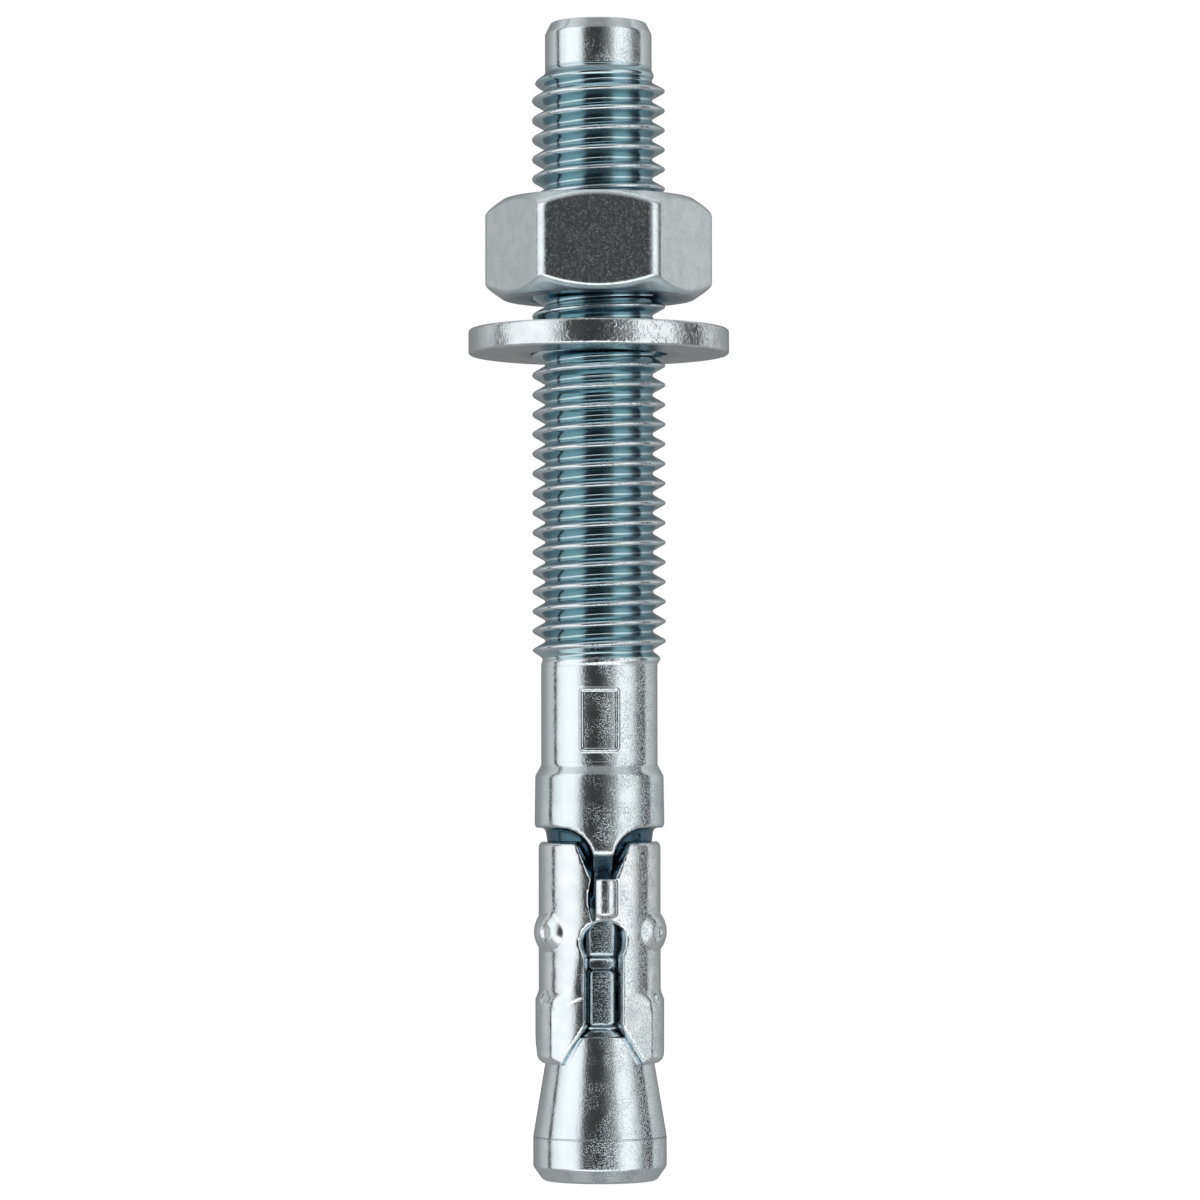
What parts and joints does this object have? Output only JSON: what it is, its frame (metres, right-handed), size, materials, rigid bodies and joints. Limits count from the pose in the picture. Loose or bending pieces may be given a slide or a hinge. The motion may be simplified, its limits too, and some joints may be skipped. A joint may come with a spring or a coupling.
{
  "type": "wedge anchor",
  "caption": "Zinc-plated steel wedge anchor for drilled concrete: a threaded stud whose tapered end spreads a slotted expansion sleeve, with a flat washer and a hexagon nut.",
  "frame": {"origin": "centre of the bolt's flat end, at the bottom of the cone, on the surface it stands on", "axes": "+Z along the bolt from the cone end to the thread; -Y is the front, towards the raised frame on the shank and the seam of the sleeve"},
  "size_m": [0.0232, 0.0232, 0.1027],
  "materials": {
    "bolt_zinc": "bright zinc plate, blue passivated, rolled thread",
    "sleeve_zinc": "bright zinc plate on pressed strip",
    "washer_zinc": "barrel-plated zinc, scuffed rim",
    "nut_zinc": "barrel-plated zinc, finely scratched flats"
  },
  "bodies": {
    "bolt": {"anchor_bolt": "bolt_zinc"},
    "sleeve": {"expansion_sleeve": "sleeve_zinc"},
    "washer": {"washer": "washer_zinc"},
    "nut": {"hex_nut": "nut_zinc"}
  },
  "joints": [
    {"name": "sleeve_slide", "type": "slide", "parent": "bolt", "child": "sleeve", "axis": [0, 0, 1], "range_m": [0, 0.0002]},
    {"name": "washer_slide", "type": "slide", "parent": "bolt", "child": "washer", "axis": [0, 0, 1], "range_m": [-0.0314, 0.0206]},
    {"name": "nut_turn", "type": "hinge", "parent": "washer", "child": "nut", "pos_m": [0, 0, 0.08248], "axis": [0, 0, 1], "range_deg": [-6440, 4220]}
  ],
  "couplings": [
    {"joint": "washer_slide", "follows": "nut_turn", "m_per_rad": 0.00027852}
  ]
}
